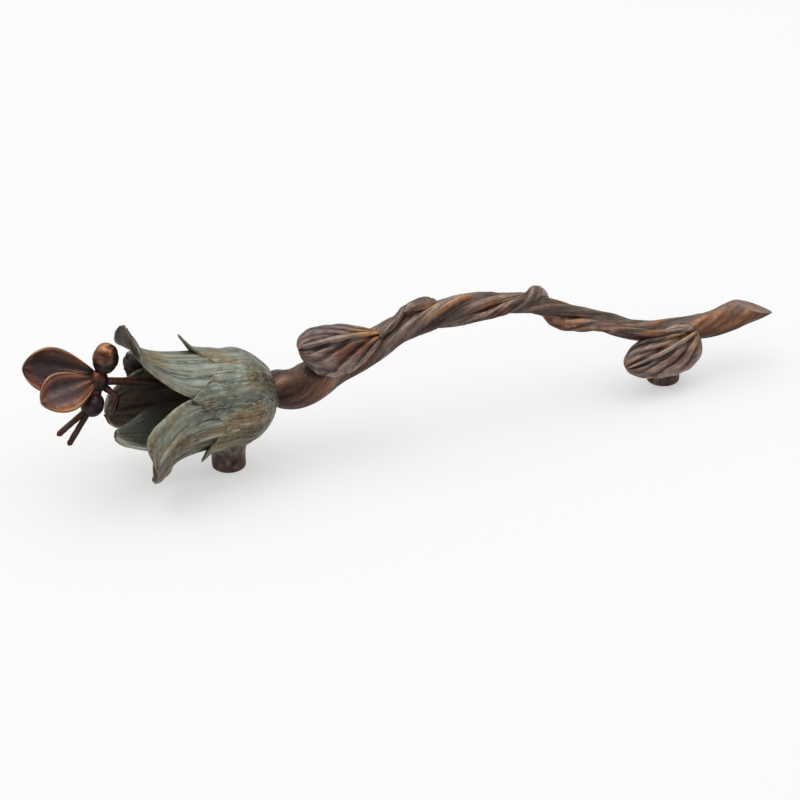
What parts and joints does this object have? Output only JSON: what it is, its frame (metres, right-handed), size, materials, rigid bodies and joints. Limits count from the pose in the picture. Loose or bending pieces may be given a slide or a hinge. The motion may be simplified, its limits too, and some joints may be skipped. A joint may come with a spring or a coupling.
{
  "type": "cabinet handle",
  "caption": "Cast bronze cabinet handle: a twig arch on round posts, with a climbing vine, leaves, and an open flower with an insect at its mouth.",
  "frame": {"origin": "on the plane of the two post faces, which is the drawer front, under the middle of the handle's outline", "axes": "+X along the handle from the flower to the cut end of the twig, +Z out from the drawer front, -Y the side the leaves grow on"},
  "size_m": [0.2148, 0.0356, 0.0469],
  "materials": {
    "antique_bronze": "cast bronze with a dark brown patina, rubbed to copper on the ridges"
  },
  "bodies": {
    "root": {"handle_casting": "antique_bronze"}
  },
  "joints": []
}
